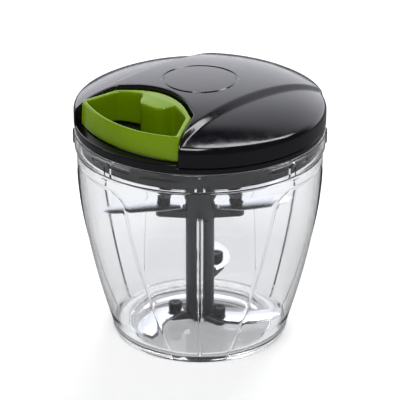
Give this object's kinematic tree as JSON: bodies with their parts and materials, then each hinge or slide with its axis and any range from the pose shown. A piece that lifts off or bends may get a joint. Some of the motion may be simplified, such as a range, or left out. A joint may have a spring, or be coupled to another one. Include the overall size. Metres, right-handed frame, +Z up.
{
  "type": "manual food chopper",
  "caption": "Hand-pulled food chopper: clear tapered bowl, turning steel blades on a central shaft, and a domed locking lid with a cord-drawn pull handle.",
  "frame": {"origin": "centre of the bowl's foot, on the surface the chopper stands on", "axes": "+Z up along the blade shaft, -Y the way the pull handle is drawn"},
  "size_m": [0.1336, 0.1336, 0.1437],
  "materials": {
    "bowl": "clear polished",
    "steel_pin": "ground",
    "silicone": "matt",
    "lid_cover": "satin gloss",
    "lid_base": "matt",
    "spring_cup": "matt",
    "screw": "plain",
    "pull_handle": "gloss",
    "knot_plug": "gloss",
    "cord": "braided",
    "spool": "natural",
    "spring_steel": "rolled",
    "shaft": "fine matt",
    "bush": "sintered",
    "blade": "polished",
    "blade_cap": "fine matt"
  },
  "bodies": {
    "bowl_body": {"bowl": "bowl", "blade_pin": "steel_pin"},
    "seal_body": {"seal_ring": "silicone"},
    "lid_body": {"lid_cover": "lid_cover", "lid_base": "lid_base", "spring_cup": "spring_cup", "spool_axle": "steel_pin", "cord_eyelet": "steel_pin", "lid_screw_1": "screw", "lid_screw_2": "screw", "lid_screw_3": "screw", "recoil_spring": "spring_steel", "cord_run": "cord"},
    "handle_body": {"pull_handle": "pull_handle", "cord_knot": "cord", "knot_plug": "knot_plug"},
    "spool_body": {"cord_spool": "spool", "cord_winding": "cord"},
    "blade_body": {"lower_shaft": "shaft", "upper_shaft": "shaft", "shaft_bush": "bush", "blade_low_1": "blade", "blade_low_2": "blade", "blade_mid": "blade", "blade_top_1": "blade", "blade_top_2": "blade", "blade_cap_low_1": "blade_cap", "blade_cap_low_2": "blade_cap", "blade_cap_mid": "blade_cap", "blade_cap_top_1": "blade_cap", "blade_cap_top_2": "blade_cap"}
  },
  "joints": [
    {"name": "lid_lift", "type": "slide", "parent": "bowl_body", "child": "seal_body", "axis": [0, 0, 1], "range_m": [0, 0.16]},
    {"name": "lid_turn", "type": "hinge", "parent": "seal_body", "child": "lid_body", "pos_m": [0, 0, 0.1169], "axis": [0, 0, -1], "range_deg": [0, 24]},
    {"name": "handle_pull", "type": "slide", "parent": "lid_body", "child": "handle_body", "axis": [0, -1, 0], "range_m": [0, 0.25], "stiffness_N_per_m": 20, "springref_m": -0.15, "deforming": ["cord_run"]},
    {"name": "spool_turn", "type": "hinge", "parent": "lid_body", "child": "spool_body", "pos_m": [0, 0, 0.1302], "axis": [0, 0, -1], "range_deg": [0, 940]},
    {"name": "blade_turn", "type": "hinge", "parent": "bowl_body", "child": "blade_body", "pos_m": [0, 0, 0], "axis": [0, 0, -1], "range_deg": [0, 940]}
  ],
  "couplings": [
    {"joint": "spool_turn", "follows": "handle_pull", "rad_per_m": 65.147},
    {"joint": "blade_turn", "follows": "handle_pull", "rad_per_m": 65.147}
  ]
}
